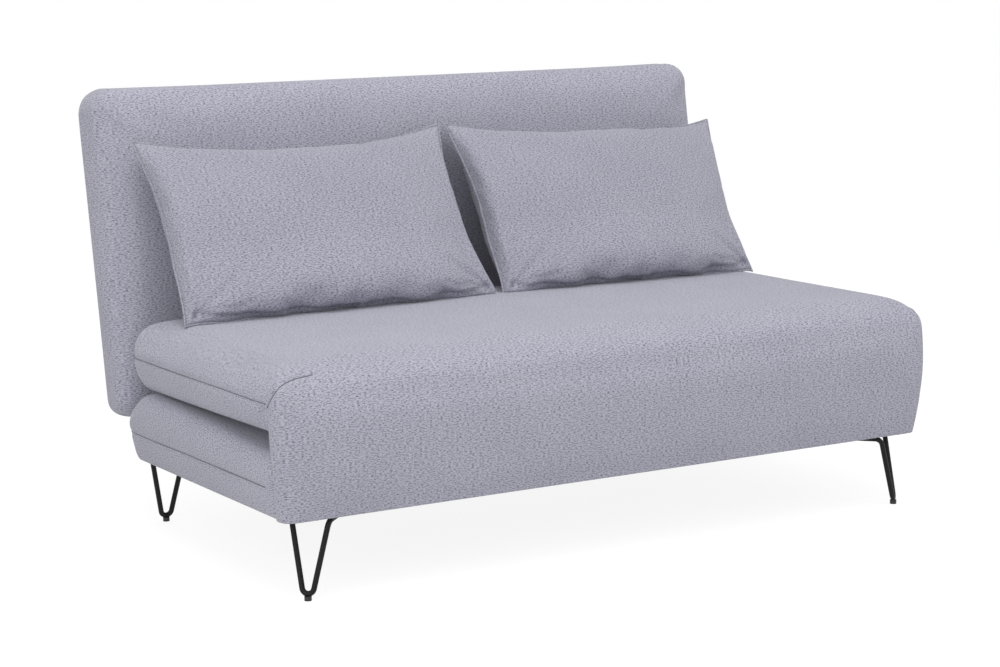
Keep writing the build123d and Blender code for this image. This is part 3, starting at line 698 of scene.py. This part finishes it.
def rim_drop(co):
    """How far the cover hangs below the lining: nothing in the middle, and more towards the rear rim."""
    inside = np.minimum(HALF - np.abs(co[:, 0]), co[:, 1] - FRONT)
    inside = np.minimum(inside, 2 * (BASE_HIGH.y - co[:, 1]))
    rearward = np.clip((co[:, 1] - FRONT) / (BASE_HIGH.y - FRONT), 0, 1)
    return (1 - smoothstep(*RIM_BAND, inside)) * (RIM_DROP + RIM_DROP_REAR * rearward)


def seat_with_front():
    """Seat pad and the front cloth below it, one continuous cover."""
    obj = rounded_block(
        "seat_and_front_cover", (-HALF, FRONT + SEAT_FRONT_SET, SEAT_LOW.z),
        (HALF, SEAT_HIGH.y, SEAT_HIGH.z - SEAT_CROWN), *SEAT_EDGES, COARSE_GRID)
    block = rounded_block(
        "front_block", (-HALF + BLOCK_SIDE_SET, FRONT, BASE_LOW.z - BLOCK_SPARE),
        (HALF - BLOCK_SIDE_SET, FRONT + FOLD_BLOCK, SEAT_HIGH.z - BLOCK_TOP_SET),
        *BLOCK_EDGES, COARSE_GRID)
    join(obj, block)
    remesh(obj, SKIN_VOXEL)
    co = to_array(obj.data)
    co[:, 2] = np.maximum(co[:, 2], BASE_LOW.z - rim_drop(co))
    front = 1 - smoothstep(FRONT + FRONT_BAND[0], FRONT + FRONT_BAND[1], co[:, 1])
    reach = FOLD.z - BASE_LOW.z
    co[:, 1] += front * FRONT_RECESS * np.clip(np.abs(co[:, 2] - FOLD.z) / reach, 0, RECESS_LIMIT) ** 2
    u, v = co[:, 0] / HALF, (co[:, 1] - FRONT) / (SEAT_HIGH.y - FRONT) * 2 - 1
    crown = (1 - u ** 4) * (1 - np.clip(v, -1, 1) ** 4)
    rearward = np.clip((co[:, 1] - FRONT - REARWARD_START) / (SEAT_HIGH.y - FRONT - REARWARD_START), 0, 1)
    co[:, 2] -= SEAT_SAG * rearward * (1 - smoothstep(SEAT_LOW.z, SEAT_SEAM_Z, co[:, 2]))
    co[:, 0] *= 1 - SEAT_REAR_SET / HALF * rearward ** 2
    co[:, 2] += SEAT_CROWN * crown * smoothstep(FOLD.z + CROWN_START, SEAT_HIGH.z - CROWN_END, co[:, 2])
    taper(co)
    from_array(obj.data, co)
    facing = normals(obj.data)[:, 2]
    y, z = co[:, 1], co[:, 2]
    still = (facing < -FACES_UP) | (z < BASE_LOW.z + HEM)
    still |= (np.abs(z - SEAT_SEAM_Z) < SEAT_SEAM_HOLD) & (y > FRONT + SEAM_BACK)
    still |= (y > FRONT + UNDERSIDE_BACK) & (z < SEAT_LOW.z + UNDERSIDE_HIGH)
    cloth(obj, still, PAD_FRAMES, PAD_CAP)
    subdivide(obj)
    return obj


def part_at_fold(obj, up):
    """Clears the points out of the narrow band at the fold onto its two straight edges."""
    co = to_array(obj.data)
    above = (co - np.array(FOLD)) @ up
    near = np.abs(above) < FOLD_CLEAR
    co[near] += np.outer(np.where(above[near] < 0, -FOLD_CLEAR, FOLD_CLEAR) - above[near], up)
    from_array(obj.data, co)


def fold_flap(body, low, high):
    """A flat strip of cloth over the hinge leaves of one half."""
    reach = HALF - FLAP_INSET
    flap = rounded_block(
        "fold_flap_" + body, (-reach, FOLD.y + FLAP_NEAR, low), (reach, FOLD.y + FLAP_FAR, high),
        (0, 0, 0), (0, 0, 0))
    box_uv(flap)
    dress(flap, "upholstery")
    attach(flap, body)


def base_body():
    """Base pad behind the front cloth, with a bevelled rear end."""
    obj = rounded_block(
        "base_pad_cover", (-HALF, FRONT + FOLD_BLOCK - BASE_OVERLAP, BASE_LOW.z),
        (HALF, BASE_HIGH.y, BASE_HIGH.z), *BASE_EDGES)
    co = to_array(obj.data)
    co[:, 2] -= rim_drop(co) * (1 - smoothstep(BASE_LOW.z, BASE_LOW.z + RIM_HEIGHT, co[:, 2]))
    upper = smoothstep(KNEE_Z, BASE_HIGH.z - TOP_FADE, co[:, 2])
    forward = np.clip((BASE_HIGH.y - co[:, 1]) / (BASE_HIGH.y - FRONT), 0, 1)
    top_rear = smoothstep(BASE_HIGH.y - REAR_TOP_REACH, BASE_HIGH.y, co[:, 1])
    outer = smoothstep(HALF - SLOT_BAND[0], HALF - SLOT_BAND[1], np.abs(co[:, 0]))
    slot = outer * (BASE_SAG + SLOT_DROP * forward ** SLOT_POWER)
    co[:, 2] -= upper * (slot + REAR_TOP_DROP * top_rear ** 2)
    rear = smoothstep(BASE_HIGH.y - REAR_REACH, BASE_HIGH.y, co[:, 1])
    heel = HEEL_SET * np.clip((KNEE_Z - co[:, 2]) / (KNEE_Z - BASE_LOW.z), 0, 1)
    lean = REAR_LEAN * np.clip((co[:, 2] - KNEE_Z) / (BASE_HIGH.z - KNEE_Z), 0, 1)
    co[:, 1] -= rear * (heel + lean)
    taper(co)
    from_array(obj.data, co)
    facing = normals(obj.data)[:, 2]
    y, z = co[:, 1], co[:, 2]
    still = (np.abs(facing) > FACES_UP) | (y < FRONT + FOLD_BLOCK + BASE_FRONT_HOLD)
    still |= (y > BASE_HIGH.y - BASE_REAR_HOLD) | (np.abs(z - BASE_SEAM_Z) < BASE_SEAM_HOLD)
    cloth(obj, still, PAD_FRAMES, PAD_CAP)
    subdivide(obj)
    return obj


def backrest():
    """Backrest pad, shaped upright about its pivot and then leant back."""
    half = HALF - BACK_SIDE_SET
    obj = rounded_block(
        "backrest_cover", Vector((-half, BACK_DEPTH[0], BACK_HEIGHT[0])),
        Vector((half, BACK_DEPTH[1], BACK_HEIGHT[1])), *BACK_EDGES)
    co = to_array(obj.data)
    facing = normals(obj.data)[:, 1]
    still = (co[:, 2] < BACK_FOOT_HOLD) | (facing > FACES_UP)
    still |= np.abs(co[:, 1] - BACK_ROW_Y) < BACK_ROW_HOLD
    cloth(obj, still, PAD_FRAMES, BACK_CAP)
    subdivide(obj)
    obj.data.transform(lean_back())
    return obj


def lean_back():
    """Places the upright backrest on its pivot, leant back."""
    return Matrix.Translation(PIVOT) @ Matrix.Rotation(-BACK_TILT, 4, "X")


def flat_pillow(name, across, up, gap):
    """Two cloth panels sewn together round their edge, a little apart in the middle."""
    verts, faces, panels = [], [], []
    for side in (-1, 1):
        rows = []
        for j in range(up + 1):
            row = []
            for i in range(across + 1):
                u, v = i / across * 2 - 1, j / up * 2 - 1
                edge = i in (0, across) or j in (0, up)
                if edge and panels:
                    row.append(panels[0][j][i])
                    continue
                lift = 0.0 if edge else side * gap * (1 - u ** 4) * (1 - v ** 4)
                row.append(len(verts))
                verts.append((u * PILLOW_FLAT[0] / 2, lift, v * PILLOW_FLAT[1] / 2))
            rows.append(row)
        panels.append(rows)
        for j in range(up):
            for i in range(across):
                quad = (rows[j][i], rows[j][i + 1], rows[j + 1][i + 1], rows[j + 1][i])
                faces.append(quad if side < 0 else quad[::-1])
    mesh = bpy.data.meshes.new(name)
    mesh.from_pydata(verts, [], faces)
    layer = mesh.uv_layers.new(name="weave")
    index = np.empty(len(mesh.loops), int)
    mesh.loops.foreach_get("vertex_index", index)
    layer.data.foreach_set("uv", np.array(verts)[index][:, [0, 2]].ravel())
    rim = [panels[0][0][i] for i in range(across)] + [panels[0][j][across] for j in range(up)]
    rim += [panels[0][up][i] for i in range(across, 0, -1)] + [panels[0][j][0] for j in range(up, 0, -1)]
    return link(name, mesh), rim


def blown_pillow():
    """Points of a pillow blown up as cloth, centred and upright: a straight foot, other edges drawn in."""
    obj, rim = flat_pillow("pillow_trial", *PILLOW_CELLS, PILLOW_GAP)
    cloth(obj, np.zeros(len(obj.data.vertices), bool), PILLOW_FRAMES, PILLOW_CAP)
    co = to_array(obj.data)
    bpy.data.objects.remove(obj)
    low, high = co.min(axis=0), co.max(axis=0)
    wide, tall, thick = PILLOW_SIZE
    co = (co - (low + high) / 2) * np.array([wide, thick, tall]) / (high - low)
    u, v = co[:, 0] / PILLOW_SIZE[0] * 2, co[:, 2] / PILLOW_SIZE[1] * 2
    foot = rim[:PILLOW_CELLS[0] + 1]
    lift = np.interp(co[:, 0], co[foot, 0], co[foot, 2]) - co[foot, 2].min()
    co[:, 2] -= lift * smoothstep(STRAIGHT_FROM, -1.0, v)
    between = 1 - np.clip(np.abs(u), 0, 1) ** DRAWN_IN_POWER
    co[:, 2] -= between * TOP_DRAWN_IN * np.clip(v, 0, 1) ** 2
    between = 1 - np.clip(np.abs(v), 0, 1) ** DRAWN_IN_POWER
    co[:, 0] -= np.sign(u) * SIDE_DRAWN_IN * between * np.abs(u) ** 3
    co[:, 1] *= 1 - FOOT_FULLER * v
    return co


def pillow(side, blown):
    """One loose pillow, set down on the seat and leant back."""
    name = "pillow_" + side
    width, shift, narrow, foot_shift, drop, seed = PILLOW_SET[side]
    obj, rim = flat_pillow(name, *PILLOW_CELLS, PILLOW_GAP)
    co = blown.copy()
    u, v = co[:, 0] / PILLOW_SIZE[0] * 2, co[:, 2] / PILLOW_SIZE[1] * 2
    lower = np.clip((NARROW_FROM - v) / (NARROW_FROM + 1), 0, 1)
    co[:, 0] = co[:, 0] * width * (1 - narrow * lower) + foot_shift * lower
    co[:, 2] -= drop * smoothstep(CORNER_FROM[0], 1.0, u) * smoothstep(CORNER_FROM[1], 1.0, v)
    along = co[:, 0] * (2 * math.pi / RIPPLE_LENGTH) + seed
    near_foot = smoothstep(RIPPLE_FROM, -1.0, v)
    co[:, 1] += near_foot * RIPPLE_DEPTH * np.sin(along) * np.cos(RIPPLE_BEAT * along)
    co[:, 2] += near_foot * RIPPLE_RISE * np.sin(RISE_RATE * along + RISE_START)
    low, high = (Vector(c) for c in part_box("pillow_filling_" + side))
    place = Matrix.Translation((low + high) / 2) @ Matrix.Rotation(-PILLOW_LEAN, 4, "X")
    turn = np.array(place)
    spots = co @ turn[:3, :3].T + turn[:3, 3]
    spots[:, 0] += shift
    spots[:, 1] -= FOOT_FORWARD * smoothstep(FORWARD_FROM, -1.0, v)
    near_edge = smoothstep(HALF - SEAT_EDGE_BAND[0], HALF - SEAT_EDGE_BAND[1], np.abs(spots[:, 0]))
    edge_drop = SEAT_EDGE_DROP * near_edge
    floor = SEAT_HIGH.z + SEAT_CLEAR - edge_drop
    spots[:, 2] -= near_foot * (FOOT_SINK + edge_drop)
    height = spots[:, 2] - floor
    spots[:, 2] = floor + np.where(height < PRESS, PRESS * np.exp(height / PRESS - 1), height)
    from_array(obj.data, spots)
    edge = [Vector(spots[i]) for i in rim]
    subdivide(obj)
    across = PILLOW_CELLS[0]
    row = across + 1
    lip = [spots[LIP_ROW * row + i] for i in range(LIP_START, row - LIP_START, LIP_STEP)]
    crease(obj, lip, LIP_DEPTH, LIP_WIDTH)
    for end, step in ((CORNER_START, 1), (across - CORNER_START, -1)):
        for ahead, rise in CORNER_LINES:
            line = []
            for k in range(CORNER_PARTS + 1):
                up = LIP_ROW + round(k * rise / CORNER_PARTS)
                line.append(spots[up * row + end + step * round(k * ahead / CORNER_PARTS)])
            crease(obj, line, CORNER_DEPTH, CORNER_WIDTH)
    dress(obj, "pillow_cloth")
    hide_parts("pillow_cover_" + side, "pillow_filling_" + side)
    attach(obj, name)
    welt = tube(name + "_seam", edge, WELT_RADIUS, WELT_SIDES, True)
    box_uv(welt)
    dress(welt, "pillow_cloth")
    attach(welt, name)


def seen_directly(tree):
    """1 where the camera, a reflection or a refraction looks, and 0 for the light that falls on things."""
    path = node(tree, "ShaderNodeLightPath")
    total = path.outputs["Is Camera Ray"]
    for name in ("Is Glossy Ray", "Is Transmission Ray"):
        add = node(tree, "ShaderNodeMath", operation="ADD", use_clamp=True)
        tree.links.new(total, add.inputs[0])
        tree.links.new(path.outputs[name], add.inputs[1])
        total = add.outputs[0]
    return total


def studio():
    """Pale floor, white surround, soft lights and the camera."""
    scene = bpy.context.scene
    scene.view_settings.view_transform = "Standard"
    mesh = bpy.data.meshes.new("floor")
    corners = [(x * FLOOR_REACH, y * FLOOR_REACH, 0) for x, y in ((-1, -1), (1, -1), (1, 1), (-1, 1))]
    mesh.from_pydata(corners, [], [(0, 1, 2, 3)])
    floor = link("floor", mesh)
    mat, tree, shader = new_material("floor")
    shader.inputs["Base Color"].default_value = FLOOR_COLOUR
    shader.inputs["Roughness"].default_value = FLOOR_ROUGH
    glow = node(tree, "ShaderNodeEmission", Color=(1, 1, 1, 1), Strength=FLOOR_GLOW)
    share = node(tree, "ShaderNodeMath", operation="MULTIPLY")
    tree.links.new(seen_directly(tree), share.inputs[0])
    share.inputs[1].default_value = GLOW_SHARE
    blend = node(tree, "ShaderNodeMixShader")
    tree.links.new(share.outputs[0], blend.inputs[0])
    tree.links.new(shader.outputs[0], blend.inputs[1])
    tree.links.new(glow.outputs[0], blend.inputs[2])
    tree.links.new(blend.outputs[0], tree.nodes["Material Output"].inputs["Surface"])
    floor.data.materials.append(mat)
    world = bpy.data.worlds.new("studio")
    scene.world = world
    world.use_nodes = True
    tree = world.node_tree
    surround = tree.nodes["Background"]
    surround.inputs["Color"].default_value = (1, 1, 1, 1)
    surround.inputs["Strength"].default_value = WORLD_LIGHT
    white = node(tree, "ShaderNodeBackground", Color=(1, 1, 1, 1), Strength=1.0)
    blend = node(tree, "ShaderNodeMixShader")
    tree.links.new(seen_directly(tree), blend.inputs[0])
    tree.links.new(surround.outputs[0], blend.inputs[1])
    tree.links.new(white.outputs[0], blend.inputs[2])
    tree.links.new(blend.outputs[0], tree.nodes["World Output"].inputs["Surface"])
    for name, place, size, power in LAMPS:
        lamp = bpy.data.lights.new(name, "AREA")
        lamp.shape = "DISK"
        lamp.size = size
        lamp.energy = power
        obj = bpy.data.objects.new(name, lamp)
        scene.collection.objects.link(obj)
        obj.location = place
        obj.rotation_euler = (Vector(LAMP_AIM) - Vector(place)).to_track_quat("-Z", "Y").to_euler()
    camera = bpy.data.cameras.new("camera")
    camera.lens = LENS_MM
    camera.sensor_width = SENSOR_MM
    obj = bpy.data.objects.new("camera", camera)
    scene.collection.objects.link(obj)
    look = Vector((math.sin(YAW) * math.cos(PITCH), math.cos(YAW) * math.cos(PITCH), -math.sin(PITCH)))
    right = Vector((math.cos(YAW), -math.sin(YAW), 0))
    up = right.cross(look)
    turned = math.cos(ROLL) * right + math.sin(ROLL) * up
    upper = -math.sin(ROLL) * right + math.cos(ROLL) * up
    rows = Matrix((turned, upper, -look)).transposed().to_4x4()
    obj.matrix_world = Matrix.Translation(CAMERA_AT) @ rows
    scene.camera = obj


def side_seam(obj, body, side, sign, height, along, round_rear, rear):
    """The seam along one side of a pad and a little way round its rear."""
    x = sign * HALF
    line = [(x, FRONT + back, height + up) for back, up in along]
    line += [(x - sign * inward, rear, height + up) for inward, up in round_rear]
    seam(obj, body + "_side_seam_" + side, line, body)


def corner_dart(obj, side, sign):
    """The short seam that takes in the cloth at an upper front corner of the seat."""
    dart = DART_REACH[side]
    line = [(sign * HALF - sign * share * dart, FRONT + back, z) for share, back, z in DART_LINE]
    seam(obj, "corner_dart_" + side, line, "seat", DART_DEPTH)


def slot_creases(obj, sign):
    """Gathers at the front end of the slot on one side, and the long soft crease below them."""
    x = sign * HALF
    for k in range(GATHERS):
        y = FRONT + GATHER_BACK + GATHER_STEP * k
        line = [(x, y, GATHER_FOOT_Z + GATHER_FOOT_RISE * k)]
        line += [(x, y - ahead, z) for ahead, z in (GATHER_MIDDLE, GATHER_TOP)]
        crease(obj, line, GATHER_DEPTH, GATHER_WIDTH)
    crease(obj, [(x, FRONT + back, z) for back, z in PULL_LINE], PULL_DEPTH, PULL_WIDTH)


dress_frame()
seat = seat_with_front()
base = base_body()
back = backrest()
for side, sign in (("left", -1), ("right", 1)):
    side_seam(seat, "seat", side, sign, SEAT_SEAM_Z, SEAT_SEAM_SIDE, SEAT_SEAM_REAR, SEAT_HIGH.y)
    corner_dart(seat, side, sign)
    slot_creases(seat, sign)
    side_seam(base, "base", side, sign, BASE_SEAM_Z, BASE_SEAM_SIDE, BASE_SEAM_REAR, BASE_HIGH.y)
for piece in (seat, base, back):
    box_uv(piece)
    dress(piece, "upholstery")
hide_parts("seat_cover", "seat_foam", "front_panel")
fold_up = Vector((0, FOLD_SLOPE, 1)).normalized()
part_at_fold(seat, np.array(fold_up))
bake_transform(seat)
fold_flap("base", FOLD.z - FLAP_THICK, FOLD.z)
fold_flap("seat", FOLD.z, FOLD.z + FLAP_THICK)
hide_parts("base_cover", "base_foam")
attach(base, "base")
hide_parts("back_cover", "back_foam")
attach(back, "back")
blown = blown_pillow()
pillow("left", blown)
pillow("right", blown)
studio()
